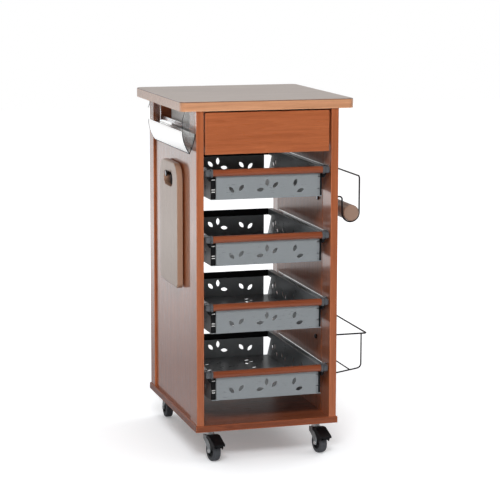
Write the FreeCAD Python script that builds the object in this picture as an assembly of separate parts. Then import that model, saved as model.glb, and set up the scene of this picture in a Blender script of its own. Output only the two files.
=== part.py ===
"""Wooden kitchen trolley on four castors: a drawer, four pull-out metal baskets, a steel side trough,
a hanging chopping board, a paper-roll holder and a wire bottle rack. Millimetres, +Z up, front at -Y."""

import FreeCAD, Part
import math
import os

from FreeCAD import Vector

# Case: two framed sides between a base board and a worktop
case_width = 352.0
case_depth = 466.0
total_height = 870.0
castor_height = 76.0
base_thickness = 16.0
base_lip = 3.0
base_round = 2.0
worktop_thickness = 23.0
worktop_side_overhang = 38.0
worktop_front_overhang = 4.0
worktop_rear_setback = 12.0
worktop_corner_radius = 14.0
worktop_edge_round = 3.0
post_thickness = 18.0
front_post_depth = 62.0
rear_post_depth = 42.0
post_round = 1.5
panel_thickness = 13.0
panel_shadow_gap = 1.5
left_panel_drop = 62.0
tongue_thickness = 5.0
tongue_length = 6.0
rail_height = 60.0
rail_thickness = 18.0
rail_setback = 4.0

# Fits between neighbours
slot_clearance = 0.2
running_clearance = 0.3
shaft_clearance = 0.05
curved_clearance = 0.3

# Drawer on its runners
drawer_front_height = 99.0
drawer_front_thickness = 18.0
drawer_front_recess = 3.0
drawer_top_gap = 4.0
drawer_side_gap = 4.5
drawer_wall = 12.0
drawer_wall_height = 76.0
drawer_wall_drop = 12.0
drawer_wall_gap = 8.0
drawer_rear_gap = 95.0
drawer_bottom_thickness = 5.0
drawer_bottom_height = 6.0
drawer_bottom_tongue = 5.0
drawer_runner_height = 10.0
drawer_runner_bite = 5.0
drawer_runner_drop = 40.0
drawer_runner_front_gap = 24.0
drawer_runner_rear_gap = 6.0

# Baskets of pierced sheet on steel channels
basket_count = 4
top_handle_drop = 147.0
top_basket_lowering = 5.4
basket_floor_gap = 58.0
basket_side_gap = 20.0
basket_rear_gap = 21.0
basket_drop = 64.0
plate_inset = 12.0
lip_height = 2.0
lip_reach = 12.0
sheet = 1.5
hem_height = 16.0
hem_thickness = 4.0
side_slope = 32.0
tab_slot_inset = 2.0
tab_slot_height = 2.0
tab_slot_drops = (18.0, 46.0)
handle_radius = 8.5
handle_setback = 5.0
handle_socket_depth = 5.0
plate_offset = 2.0
plate_slot_depth = 4.5
cap_side_gap = 4.0
cap_length = 18.0
cap_size = 19.0
cap_round = 3.0
cap_foot_drop = 10.0
cap_foot_top = 12.0
cap_foot_tip = 7.0
channel_height = 9.5
channel_reach = 12.0
channel_gauge = 1.2
channel_front_gap = 3.0
channel_rear_gap = 74.0

# Leaf-shaped piercings, in sprigs of two or three leaves
leaf_length = 18.0
leaf_width = 9.0
sprig_pitch = 76.0
pair_sprig = ((-12.0, -3.0, -50.0), (12.0, 1.0, 50.0))
trio_sprig = ((-17.0, -5.0, 8.0), (0.0, 12.0, 88.0), (20.0, 5.0, 48.0))
fork_sprig = ((-6.0, 9.0, 72.0), (7.0, -10.0, 18.0))
sprig_drop = 6.0
floor_row_offset = 60.0

# Steel trough under the left overhang
trough_reach = 31.0
trough_lip_drop = 48.0
trough_depth = 52.0
trough_keel_reach = 14.0
trough_wall_drop = 6.0
trough_outer_bulge = 4.5
trough_inner_bulge = 2.0
trough_sheet = 1.5
trough_length = 342.0
trough_front_gap = 8.0
trough_end_thickness = 3.0
trough_end_shoulder = 20.0
trough_end_top_inset = 6.0

# Chopping board on its peg, left side
board_width = 172.0
board_height = 304.0
board_thickness = 14.0
board_corner_radius = 40.0
board_foot_radius = 12.0
board_edge_round = 3.0
board_top_drop = 140.0
board_centre_y = -11.0
board_standoff = 3.5
hole_width = 86.0
hole_height = 36.0
hole_drop = 43.0
peg_radius = 5.0
peg_head_radius = 7.5
peg_head_length = 4.0
peg_proud = 3.0

# Paper-roll holder of bent wire, right side
wire_radius = 2.0
roll_radius = 20.0
roll_overrun = 7.0
roll_reach = 71.0
roll_drop = 268.0
roll_chamfer = 2.0
holder_front = -138.0
holder_span = 250.0
holder_hook_height = 41.0
holder_bar_height = 90.0
holder_bend = 7.0

# Wire bottle rack, right side
rack_front = -132.0
rack_span = 250.0
rack_reach = 119.0
rack_height = 180.0
rack_depth = 87.0
rack_hoop_inset = 14.0
rack_foot_fall = 16.0
rack_bend = 12.0
rack_hoop_radius = 1.8
rack_rail_radius = 1.6
rack_rail_inset = 46.0
rack_rail_overrun = 3.0
weld_sink = 1.0
wire_seat = 6.0
nut_radius = 5.5
nut_height = 4.0
nut_round = 1.5

# Castors
castor_side_inset = 41.0
castor_end_inset = 34.0
front_castor_turn = 10.0
wheel_radius = 25.0
wheel_half_width = 9.0
hub_radius = 16.0
hub_half_width = 9.6
wheel_round = 3.0
trail = 20.0
axle_radius = 3.0
axle_head_radius = 5.0
axle_head_length = 1.5
cheek_gap = 1.2
cheek_thickness = 2.5
fork_top = 61.0
fork_boss_radius = 11.0
fork_boss_depth = 14.0
fork_ear_radius = 9.0
fork_nose_slope = 2.0
wheel_pocket_gap = 2.2
stem_radius = 5.0
stem_depth = 9.0
stem_plate_radius = 15.0
stem_plate_thickness = 3.0

# Brake pedals on the front castors
pedal_pin_x = 22.0
pedal_pin_z = 55.5
pedal_pin_radius = 2.0
pedal_boss_radius = 4.5
pedal_gap = 4.5
pedal_thickness = 5.0
pedal_back_angle = 100.0
pedal_front_angle = 22.0
pedal_tongue_top_angle = 62.0
pedal_tongue_low_angle = 38.0
pedal_reach = 56.0
pedal_tip_z = 45.0
pedal_tip_thickness = 4.0
pedal_side_gap = 0.6

# Places worked out from the sizes above
front = -case_depth / 2
rear = case_depth / 2
outer_side = case_width / 2
inner_side = outer_side - post_thickness
panel_outer = inner_side + panel_thickness
base_top = castor_height + base_thickness
worktop_bottom = total_height - worktop_thickness
tongue_back = front + front_post_depth - tongue_length
tongue_rear = rear - rear_post_depth + tongue_length
rail_back = rear - worktop_rear_setback - rail_setback
rail_face = rail_back - rail_thickness
drawer_box_front = front + drawer_front_recess + drawer_front_thickness
drawer_box_rear = rail_face - drawer_rear_gap
handle_y = front + handle_setback
top_handle_z = worktop_bottom - top_handle_drop
low_handle_z = base_top + basket_floor_gap + basket_drop
basket_pitch = (top_handle_z + top_basket_lowering - low_handle_z) / (basket_count - 1)
handle_heights = [top_handle_z] + [low_handle_z + n * basket_pitch for n in range(basket_count - 2, -1, -1)]
handle_half_length = inner_side - cap_side_gap - cap_length
cap_back = handle_y + cap_size / 2
basket_front = handle_y + plate_offset
basket_rear = rear - basket_rear_gap
basket_half_width = inner_side - basket_side_gap
plate_half_width = basket_half_width - plate_inset
holder_rear = holder_front + holder_span
rack_rear = rack_front + rack_span
roll_x = panel_outer + roll_reach
roll_z = worktop_bottom - roll_drop
hook_z = roll_z + holder_hook_height
rack_z = base_top + rack_height
rack_outer = panel_outer + rack_reach
castor_x = outer_side - castor_side_inset
castor_y = rear - castor_end_inset
cheek_inner = wheel_half_width + cheek_gap
cheek_outer = cheek_inner + cheek_thickness
pedal_half_width = cheek_inner - pedal_side_gap

# The origin is on the floor, under the middle of the whole trolley
left_end = -outer_side - worktop_side_overhang
right_end = rack_outer + wire_radius
front_turn = math.radians(front_castor_turn)
front_end = -castor_y - pedal_reach * math.cos(front_turn) - pedal_half_width * math.sin(front_turn)
rear_end = castor_y + trail + wheel_radius
origin_shift = Vector(-(left_end + right_end) / 2, -(front_end + rear_end) / 2, 0)


def save(name, *solids):
    """Write one node, moved so that the trolley's origin is on the floor under its middle."""
    shape = solids[0] if len(solids) == 1 else Part.makeCompound(list(solids))
    placed = shape.copy()
    placed.translate(origin_shift)
    placed.exportStep("parts/" + name + ".step")


def block(x0, x1, y0, y1, z0, z1):
    return Part.makeBox(x1 - x0, y1 - y0, z1 - z0, Vector(x0, y0, z0))


def rod(radius, start, end):
    return Part.makeCylinder(radius, (end - start).Length, start, end - start)


def fused(shapes):
    return shapes[0].multiFuse(shapes[1:]).removeSplitter()


def mirrored_x(shape):
    return shape.mirror(Vector(0, 0, 0), Vector(1, 0, 0))


def edges_along(shape, axis):
    """Straight edges that run along one axis, for rounding."""
    found = []
    for edge in shape.Edges:
        if len(edge.Vertexes) == 2:
            run = edge.Vertexes[1].Point - edge.Vertexes[0].Point
            if run.Length > 0 and abs(abs(run.normalize().dot(axis)) - 1) < 1e-6:
                found.append(edge)
    return found


def edges_at_height(shape, height):
    return [edge for edge in shape.Edges if all(abs(v.Z - height) < 1e-6 for v in edge.Vertexes)]


def arc_between(start, end, bulge, side):
    """Arc from start to end whose middle stands off the chord by bulge, towards side."""
    middle = (start + end) * 0.5 + side * bulge
    return Part.Arc(start, middle, end).toShape()


def extruded(edges, run):
    return Part.Face(Part.Wire(edges)).extrude(run)


def closed_polygon(points):
    return [Part.LineSegment(a, b).toShape() for a, b in zip(points, points[1:] + points[:1])]


def bent_wire(points, bends, radius):
    """Round wire along straight runs that are joined by tangent arcs, one bend radius per inner point."""
    edges = []
    last = points[0]
    for before, corner, after, bend in zip(points, points[1:], points[2:], bends):
        back = (before - corner).normalize()
        ahead = (after - corner).normalize()
        half_angle = back.getAngle(ahead) / 2
        setback = bend / math.tan(half_angle)
        enter = corner + back * setback
        leave = corner + ahead * setback
        inward = (back + ahead).normalize()
        middle = corner + inward * (bend / math.sin(half_angle) - bend)
        if (enter - last).Length > 1e-6:
            edges.append(Part.LineSegment(last, enter).toShape())
        edges.append(Part.Arc(enter, middle, leave).toShape())
        last = leave
    edges.append(Part.LineSegment(last, points[-1]).toShape())
    ring = Part.Wire([Part.makeCircle(radius, points[0], points[1] - points[0])])
    return Part.Wire(edges).makePipeShell([ring], True, False)


def worktop():
    slab = block(-outer_side - worktop_side_overhang, outer_side + worktop_side_overhang,
                 front - worktop_front_overhang, rear - worktop_rear_setback,
                 worktop_bottom, total_height)
    slab = slab.makeFillet(worktop_corner_radius, edges_along(slab, Vector(0, 0, 1)))
    return slab.makeFillet(worktop_edge_round, edges_at_height(slab, total_height))


def base_board():
    slab = block(-outer_side - base_lip, outer_side + base_lip, front - base_lip, rear + base_lip,
                 castor_height, base_top)
    return slab.makeFillet(base_round, edges_at_height(slab, base_top))


def panel_tongue(clearance):
    """The thin edge of a side panel, which sits in the grooves of both posts."""
    middle = inner_side + panel_thickness / 2
    half = tongue_thickness / 2 + clearance
    return block(middle - half, middle + half, tongue_back - clearance, tongue_rear + clearance,
                 base_top, worktop_bottom)


def front_post():
    post = block(inner_side, outer_side, front, front + front_post_depth, base_top, worktop_bottom)
    return post.makeFillet(post_round, edges_along(post, Vector(0, 0, 1))).cut(panel_tongue(slot_clearance))


def rear_post():
    post = block(inner_side, outer_side, rear - rear_post_depth, rear, base_top, worktop_bottom)
    return post.makeFillet(post_round, edges_along(post, Vector(0, 0, 1))).cut(panel_tongue(slot_clearance))


def side_panel():
    field = block(inner_side, panel_outer, front + front_post_depth + panel_shadow_gap,
                  rear - rear_post_depth - panel_shadow_gap, base_top, worktop_bottom)
    return fused([field, panel_tongue(0.0)])


def left_panel():
    """The left panel stops short of the worktop, which leaves an opening over the trough."""
    over = block(inner_side, panel_outer, front, rear, worktop_bottom - left_panel_drop, worktop_bottom)
    return mirrored_x(side_panel().cut(over))


def wire_seats():
    """The four places where a wire enters the right panel, with the wire's direction inward along -X."""
    hooks = [Vector(panel_outer, y, hook_z) for y in (holder_front, holder_rear)]
    loops = [Vector(panel_outer, y, rack_z) for y in (rack_front, rack_rear)]
    return hooks + loops


def rack_foot_seats():
    foot_z = rack_z - rack_depth - rack_foot_fall
    return [Vector(panel_outer, y, foot_z) for y in (rack_front, rack_rear)]


def right_panel():
    """The right panel is drilled for the ends of the two wire racks."""
    panel = side_panel()
    for seat in wire_seats():
        panel = panel.cut(rod(wire_radius + shaft_clearance, seat, Vector(inner_side, seat.y, seat.z)))
    for seat in rack_foot_seats():
        inner_end = Vector(panel_outer - wire_seat, seat.y, seat.z)
        panel = panel.cut(rod(rack_hoop_radius + shaft_clearance, seat, inner_end))
    return panel


def rear_rail():
    return block(-inner_side, inner_side, rail_face, rail_back, worktop_bottom - rail_height, worktop_bottom)


def drawer_box():
    """The drawer's outer limits: half width of the box, and the heights of its walls."""
    half = inner_side - drawer_wall_gap
    top = worktop_bottom - drawer_top_gap - drawer_wall_drop
    return half, top - drawer_wall_height, top


def drawer_runner_zone(clearance):
    """Where a runner lies: its face inside the drawer's wall, and its heights."""
    half, _, top = drawer_box()
    runner_top = top - drawer_runner_drop + drawer_runner_height
    return (half - drawer_runner_bite - clearance, runner_top - drawer_runner_height - clearance,
            runner_top + clearance)


def drawer_runner():
    inner, z0, z1 = drawer_runner_zone(0.0)
    y0 = front + drawer_runner_front_gap
    y1 = rail_face - drawer_runner_rear_gap
    return block(inner, inner_side, y0, y1, z0, z1)


def drawer_front():
    half = inner_side - drawer_side_gap
    top = worktop_bottom - drawer_top_gap
    y0 = front + drawer_front_recess
    face = block(-half, half, y0, y0 + drawer_front_thickness, top - drawer_front_height, top)
    rim = [edge for edge in face.Edges if edge.BoundBox.YMax < y0 + 1e-6]
    return face.makeFillet(post_round, rim).cut(drawer_bottom(slot_clearance))


def drawer_side():
    half, bottom, top = drawer_box()
    wall = block(half - drawer_wall, half, drawer_box_front, drawer_box_rear - drawer_wall, bottom, top)
    inner, z0, z1 = drawer_runner_zone(running_clearance)
    groove = block(inner, half, drawer_box_front, drawer_box_rear, z0, z1)
    return wall.cut(groove).cut(drawer_bottom(slot_clearance))


def drawer_back():
    half, bottom, top = drawer_box()
    inner, z0, z1 = drawer_runner_zone(running_clearance)
    wall = block(-half, half, drawer_box_rear - drawer_wall, drawer_box_rear, bottom, top)
    groove = block(inner, half, drawer_box_rear - drawer_wall, drawer_box_rear, z0, z1)
    return wall.cut(groove).cut(mirrored_x(groove)).cut(drawer_bottom(slot_clearance))


def drawer_bottom(clearance):
    half, bottom, _ = drawer_box()
    reach = half - drawer_wall + drawer_bottom_tongue + clearance
    z0 = bottom + drawer_bottom_height
    return block(-reach, reach, drawer_box_front - drawer_bottom_tongue - clearance,
                 drawer_box_rear - drawer_wall + drawer_bottom_tongue + clearance,
                 z0 - clearance, z0 + drawer_bottom_thickness + clearance)


def leaf(centre, along, up, angle, through):
    """Pointed oval cut-out: two arcs between the leaf's tips, run through the sheet."""
    turn = math.radians(angle)
    spine = along * math.cos(turn) + up * math.sin(turn)
    side = up * math.cos(turn) - along * math.sin(turn)
    tip = centre + spine * (leaf_length / 2)
    root = centre - spine * (leaf_length / 2)
    upper = arc_between(root, tip, leaf_width / 2, side)
    lower = arc_between(tip, root, leaf_width / 2, side * -1)
    return extruded([upper, lower], through)


def sprig_row(count, centre, along, up, through):
    """Sprigs of leaves at one pitch along a sheet, the three kinds in turn."""
    kinds = (pair_sprig, trio_sprig, fork_sprig)
    leaves = []
    for n in range(count):
        middle = centre + along * ((n - (count - 1) / 2) * sprig_pitch)
        for run, rise, angle in kinds[n % len(kinds)]:
            leaves.append(leaf(middle + along * run + up * rise, along, up, angle, through))
    return leaves


def sprig_count(length):
    return max(1, int((length - leaf_length) // sprig_pitch))


def tray_piercings(handle_z):
    """Leaf cut-outs of one tray: front, back and both sides, and two rows in the floor."""
    x_axis = Vector(1, 0, 0)
    y_axis = Vector(0, 1, 0)
    z_axis = Vector(0, 0, 1)
    bottom = handle_z - basket_drop
    middle_y = (basket_front + basket_rear) / 2
    middle_z = (bottom + handle_z) / 2 - sprig_drop
    across = sprig_count(2 * plate_half_width)
    lengthways = sprig_count(basket_rear - basket_front)
    through_end = y_axis * (2 * hem_thickness)
    through_sides = x_axis * (2 * basket_half_width + 2 * sheet)
    face_start = Vector(0, basket_front - sheet, middle_z)
    back_start = Vector(0, basket_rear - hem_thickness - sheet, middle_z)
    side_start = Vector(-basket_half_width - sheet, middle_y, middle_z)
    cuts = sprig_row(across, face_start, x_axis, z_axis, through_end)
    cuts += sprig_row(across, back_start, x_axis * -1, z_axis, through_end)
    cuts += sprig_row(lengthways, side_start, y_axis, z_axis, through_sides)
    for row in (-floor_row_offset, floor_row_offset):
        floor_start = Vector(row, middle_y, bottom - sheet)
        cuts += sprig_row(lengthways, floor_start, y_axis, x_axis, z_axis * (3 * sheet))
    return cuts


def corner_tab(handle_z):
    """Front end of a tray's side, turned in towards the front plate and slotted twice."""
    tab = block(plate_half_width, basket_half_width, cap_back, cap_back + sheet,
                handle_z - basket_drop, handle_z + lip_height)
    for drop in tab_slot_drops:
        middle = handle_z - drop
        tab = tab.cut(block(plate_half_width + tab_slot_inset, basket_half_width - sheet - tab_slot_inset,
                            cap_back, cap_back + sheet,
                            middle - tab_slot_height / 2, middle + tab_slot_height / 2))
    return tab


def basket_tray(handle_z):
    """Pierced sheet tray: floor, front, back with a deep hem, and two lipped sides with turned-in tabs."""
    bottom = handle_z - basket_drop
    lip_z = handle_z + lip_height
    rim = lip_z + sheet
    hem_low = rim - hem_height
    floor = block(-basket_half_width, basket_half_width, basket_front, basket_rear, bottom, bottom + sheet)
    face = block(-plate_half_width, plate_half_width, basket_front, basket_front + sheet,
                 bottom, handle_z - plate_slot_depth)
    back = block(-plate_half_width, plate_half_width, basket_rear - sheet, basket_rear, bottom, rim)
    hem = block(-basket_half_width, basket_half_width, basket_rear - hem_thickness, basket_rear,
                hem_low, rim)
    wall = extruded(closed_polygon([
        Vector(basket_half_width - sheet, cap_back, bottom),
        Vector(basket_half_width - sheet, basket_rear, bottom),
        Vector(basket_half_width - sheet, basket_rear - side_slope, hem_low),
        Vector(basket_half_width - sheet, basket_rear, hem_low),
        Vector(basket_half_width - sheet, basket_rear, rim),
        Vector(basket_half_width - sheet, cap_back, rim),
    ]), Vector(sheet, 0, 0))
    lip = block(basket_half_width - sheet, basket_half_width + lip_reach, cap_back, basket_rear, lip_z, rim)
    side = fused([wall, lip, corner_tab(handle_z)])
    tray = fused([floor, face, back, hem, side, mirrored_x(side)])
    return tray.cut(Part.makeCompound(tray_piercings(handle_z)))


def basket_handle(handle_z):
    """Round wooden bar with a slot below, where the front sheet is held."""
    reach = handle_half_length + handle_socket_depth
    bar = rod(handle_radius, Vector(-reach, handle_y, handle_z), Vector(reach, handle_y, handle_z))
    slot = block(-plate_half_width - slot_clearance, plate_half_width + slot_clearance,
                 basket_front - slot_clearance, basket_front + sheet + slot_clearance,
                 handle_z - handle_radius, handle_z - plate_slot_depth + slot_clearance)
    return bar.cut(slot)


def basket_cap(handle_z):
    """Plastic end cap of a handle bar, with a tapered foot beside the tray's corner."""
    half = cap_size / 2
    outer = handle_half_length + cap_length
    cap = block(handle_half_length, outer, handle_y - half, cap_back, handle_z - half, handle_z + half)
    cap = cap.makeFillet(cap_round, [edge for edge in cap.Edges if edge.BoundBox.YMax < handle_y])
    foot_top = handle_z - half
    foot_low = foot_top - cap_foot_drop
    foot = extruded(closed_polygon([
        Vector(basket_half_width, handle_y, foot_top),
        Vector(basket_half_width + cap_foot_top, handle_y, foot_top),
        Vector(basket_half_width + cap_foot_tip, handle_y, foot_low),
        Vector(basket_half_width, handle_y, foot_low),
    ]), Vector(0, cap_back - handle_y, 0))
    cap = fused([cap, foot])
    socket_end = handle_half_length + handle_socket_depth + slot_clearance
    socket = rod(handle_radius + shaft_clearance, Vector(handle_half_length, handle_y, handle_z),
                 Vector(socket_end, handle_y, handle_z))
    return cap.cut(socket)


def basket_channel(handle_z):
    """Steel channel, open to the middle, whose lower flange carries the basket's lip."""
    inner = inner_side - channel_reach
    y0 = cap_back + channel_front_gap
    y1 = basket_rear - channel_rear_gap
    z0 = handle_z + lip_height - running_clearance - channel_gauge
    z1 = z0 + channel_height
    bar = block(inner, inner_side, y0, y1, z0, z1)
    return bar.cut(block(inner, inner_side - channel_gauge, y0, y1, z0 + channel_gauge, z1 - channel_gauge))


def trough_points():
    """Corners of the trough's section at the origin's depth: lip, keel, and top of the wall side."""
    lip_z = worktop_bottom - trough_lip_drop
    lip = Vector(-outer_side - trough_reach, 0, lip_z)
    keel = Vector(-outer_side - trough_keel_reach, 0, lip_z - trough_depth)
    wall = Vector(-outer_side, 0, lip_z - trough_wall_drop)
    return lip, keel, wall


def trough_shell():
    """Pointed trough of polished sheet, its two curved walls meeting at the keel."""
    lip, keel, wall = trough_points()
    out = Vector(-1, 0, 0)
    step = Vector(trough_sheet, 0, 0)
    keel_in = keel + Vector(0, 0, 2 * trough_sheet)
    edges = [
        arc_between(lip, keel, trough_outer_bulge, out),
        arc_between(keel, wall, trough_inner_bulge, out * -1),
        Part.LineSegment(wall, wall - step).toShape(),
        arc_between(wall - step, keel_in, trough_inner_bulge, out * -1),
        arc_between(keel_in, lip + step, trough_outer_bulge, out),
        Part.LineSegment(lip + step, lip).toShape(),
    ]
    y0 = front + trough_front_gap + trough_end_thickness
    shell = extruded(edges, Vector(0, trough_length - 2 * trough_end_thickness, 0))
    shell.translate(Vector(0, y0, 0))
    return shell


def trough_end():
    """End plate of the trough, carried up to the worktop, which it hangs from."""
    lip, keel, wall = trough_points()
    out = Vector(-1, 0, 0)
    shoulder = Vector(lip.x, 0, worktop_bottom - trough_end_shoulder)
    top = Vector(lip.x + trough_end_top_inset, 0, worktop_bottom)
    top_wall = Vector(wall.x, 0, worktop_bottom)
    edges = [
        arc_between(lip, keel, trough_outer_bulge, out),
        arc_between(keel, wall, trough_inner_bulge, out * -1),
        Part.LineSegment(wall, top_wall).toShape(),
        Part.LineSegment(top_wall, top).toShape(),
        Part.LineSegment(top, shoulder).toShape(),
        Part.LineSegment(shoulder, lip).toShape(),
    ]
    return extruded(edges, Vector(0, trough_end_thickness, 0))


def trough_ends():
    near = trough_end()
    near.translate(Vector(0, front + trough_front_gap, 0))
    far = trough_end()
    far.translate(Vector(0, front + trough_front_gap + trough_length - trough_end_thickness, 0))
    return near, far


def board_places():
    """Inner and outer faces of the board, its top, and the axis height of its peg."""
    inner = -panel_outer - board_standoff
    top = worktop_bottom - board_top_drop
    peg_z = top - hole_drop + hole_height / 2 - peg_radius - curved_clearance
    return inner, inner - board_thickness, top, peg_z


def chopping_board():
    """Board with large top corners, small lower ones and a long hand hole that hangs on the peg."""
    inner, outer, top, _ = board_places()
    y0 = board_centre_y - board_width / 2
    y1 = board_centre_y + board_width / 2
    board = block(outer, inner, y0, y1, top - board_height, top)
    corners = edges_along(board, Vector(1, 0, 0))
    board = board.makeFillet(board_corner_radius, [e for e in corners if e.BoundBox.ZMin > top - 1e-6])
    corners = edges_along(board, Vector(1, 0, 0))
    foot = top - board_height
    board = board.makeFillet(board_foot_radius, [e for e in corners if e.BoundBox.ZMax < foot + 1e-6])
    rim = [e for e in board.Edges if e.BoundBox.XMax < outer + 1e-6]
    board = board.makeFillet(board_edge_round, rim)
    half_run = (hole_width - hole_height) / 2
    hole_z = top - hole_drop
    ends = [rod(hole_height / 2, Vector(outer, board_centre_y + side * half_run, hole_z),
                Vector(inner, board_centre_y + side * half_run, hole_z)) for side in (-1, 1)]
    middle = block(outer, inner, board_centre_y - half_run, board_centre_y + half_run,
                   hole_z - hole_height / 2, hole_z + hole_height / 2)
    return board.cut(fused(ends + [middle]))


def board_peg():
    _, outer, _, peg_z = board_places()
    foot = Vector(-panel_outer, board_centre_y, peg_z)
    neck = Vector(outer - peg_proud, board_centre_y, peg_z)
    tip = neck - Vector(peg_head_length, 0, 0)
    head = rod(peg_head_radius, neck, tip)
    head = head.makeFillet(peg_head_length / 3, [e for e in head.Edges if e.BoundBox.XMax < tip.x + 1e-6])
    return fused([rod(peg_radius, foot, neck), head])


def paper_roll():
    """Wooden roll that lies loose in the two wire cradles and turns in them."""
    start = Vector(roll_x, holder_front - roll_overrun, roll_z)
    end = Vector(roll_x, holder_rear + roll_overrun, roll_z)
    roll = rod(roll_radius, start, end)
    return roll.makeChamfer(roll_chamfer, [e for e in roll.Edges if e.Curve.TypeId == "Part::GeomCircle"])


def roll_holder():
    """One wire: a hook from the panel, a cradle under the roll, a bar to the back, and the same again."""
    cradle = roll_radius + curved_clearance + wire_radius
    near_x = roll_x - cradle
    far_x = roll_x + cradle
    bar_z = roll_z + holder_bar_height
    under_z = roll_z - cradle

    def half(y):
        return [Vector(inner_side, y, hook_z), Vector(near_x, y, hook_z), Vector(near_x, y, under_z),
                Vector(far_x, y, under_z), Vector(far_x, y, bar_z)]

    points = half(holder_front) + half(holder_rear)[::-1]
    bends = [holder_bend, cradle, cradle, holder_bend]
    return bent_wire(points, bends + bends[::-1], wire_radius)


def bottle_rack():
    """Welded rack: an upper loop, two hoops below it and two long rails on the hoops."""
    loop = bent_wire([Vector(inner_side, rack_front, rack_z), Vector(rack_outer, rack_front, rack_z),
                      Vector(rack_outer, rack_rear, rack_z), Vector(inner_side, rack_rear, rack_z)],
                     [rack_bend / 2, rack_bend / 2], wire_radius)
    hoop_x = rack_outer - rack_hoop_inset
    low_z = rack_z - rack_depth
    pieces = [loop]
    for seat in rack_foot_seats():
        inner_end = Vector(panel_outer - wire_seat, seat.y, seat.z)
        hoop = [Vector(hoop_x, seat.y, rack_z), Vector(hoop_x, seat.y, low_z), seat, inner_end]
        pieces.append(bent_wire(hoop, [rack_bend, rack_bend], rack_hoop_radius))
    for inset in (rack_rail_inset, 2 * rack_rail_inset):
        rail_x = rack_outer - inset
        share = (rail_x - panel_outer) / (hoop_x - panel_outer)
        rail_z = low_z - rack_foot_fall * (1 - share) + rack_hoop_radius + rack_rail_radius - weld_sink
        pieces.append(rod(rack_rail_radius, Vector(rail_x, rack_front - rack_rail_overrun, rail_z),
                          Vector(rail_x, rack_rear + rack_rail_overrun, rail_z)))
    return fused(pieces)


def wire_nuts():
    """Domed nuts on the panel's inner face, one where each hook or loop comes through."""
    nuts = []
    for seat in wire_seats():
        crown = inner_side - nut_height
        nut = rod(nut_radius, Vector(inner_side, seat.y, seat.z), Vector(crown, seat.y, seat.z))
        face = [e for e in nut.Edges if e.BoundBox.XMax < crown + 1e-6]
        nuts.append(nut.makeFillet(nut_round, face))
    return nuts


def castor_stem():
    """Screw plate and stem at the castor's own axis; the stem runs down into the fork."""
    top = Vector(0, 0, castor_height)
    plate = rod(stem_plate_radius, top - Vector(0, 0, stem_plate_thickness), top)
    return fused([plate, rod(stem_radius, Vector(0, 0, fork_top - stem_depth), top)])


def fork_side(y0, y1):
    """Pear-shaped side view of the fork, from the swivel boss down to the axle ear."""
    boss_low = fork_top - fork_boss_depth
    ear = Vector(trail, y0, wheel_radius)
    back_top = Vector(-fork_boss_radius, y0, fork_top)
    back_low = Vector(-fork_boss_radius, y0, boss_low)
    nose_top = Vector(pedal_pin_x + pedal_boss_radius, y0, fork_top)
    nose_low = Vector(nose_top.x + fork_nose_slope, y0, pedal_pin_z - pedal_boss_radius)
    ear_back = ear + Vector(-fork_ear_radius, 0, 0)
    ear_front = ear + Vector(fork_ear_radius, 0, 0)
    ear_low = ear + Vector(0, 0, -fork_ear_radius)
    edges = [
        Part.LineSegment(back_top, back_low).toShape(),
        Part.LineSegment(back_low, ear_back).toShape(),
        Part.Arc(ear_back, ear_low, ear_front).toShape(),
        Part.LineSegment(ear_front, nose_low).toShape(),
        Part.LineSegment(nose_low, nose_top).toShape(),
        Part.LineSegment(nose_top, back_top).toShape(),
    ]
    return extruded(edges, Vector(0, y1 - y0, 0))


def castor_fork(braked):
    """Pressed fork: two cheeks joined above the wheel, bored for the stem and the axle."""
    fork = fork_side(-cheek_outer, cheek_outer)
    pocket_radius = wheel_radius + wheel_pocket_gap
    pocket_end = trail + pocket_radius
    axle = Vector(trail, 0, wheel_radius)
    inside = Vector(0, cheek_inner, 0)
    outside = Vector(0, cheek_outer, 0)
    cuts = [
        rod(pocket_radius, axle - inside, axle + inside),
        rod(axle_radius, axle - outside, axle + outside),
        block(-fork_boss_radius, pocket_end, -cheek_inner, cheek_inner, 0, wheel_radius),
        rod(stem_radius + shaft_clearance, Vector(0, 0, fork_top - stem_depth - running_clearance),
            Vector(0, 0, fork_top)),
    ]
    if braked:
        cuts.append(block(fork_boss_radius, pocket_end, -cheek_inner, cheek_inner, 0, castor_height))
        cuts.append(pedal_pin())
    for cut in cuts:
        fork = fork.cut(cut)
    return fork


def castor_axle():
    reach = cheek_outer + axle_head_length
    pin = rod(axle_radius, Vector(trail, -reach, wheel_radius), Vector(trail, reach, wheel_radius))
    heads = [rod(axle_head_radius, Vector(trail, side * cheek_outer, wheel_radius),
                 Vector(trail, side * reach, wheel_radius)) for side in (-1, 1)]
    return fused([pin] + heads)


def pedal_pin():
    return rod(pedal_pin_radius, Vector(pedal_pin_x, -cheek_outer, pedal_pin_z),
               Vector(pedal_pin_x, cheek_outer, pedal_pin_z))


def wheel_ring(outer, inner, half_width):
    centre = Vector(trail, 0, wheel_radius)
    width = Vector(0, half_width, 0)
    return rod(outer, centre - width, centre + width).cut(rod(inner, centre - width, centre + width))


def castor_hub():
    return wheel_ring(hub_radius, axle_radius + shaft_clearance, hub_half_width)


def castor_tyre():
    tyre = wheel_ring(wheel_radius, hub_radius, wheel_half_width)
    rings = [e for e in tyre.Edges if e.Curve.TypeId == "Part::GeomCircle"]
    return tyre.makeFillet(wheel_round, [e for e in rings if abs(e.Curve.Radius - wheel_radius) < 1e-6])


def around_axle(radius, angle, y):
    turn = math.radians(angle)
    return Vector(trail + radius * math.cos(turn), y, wheel_radius + radius * math.sin(turn))


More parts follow.
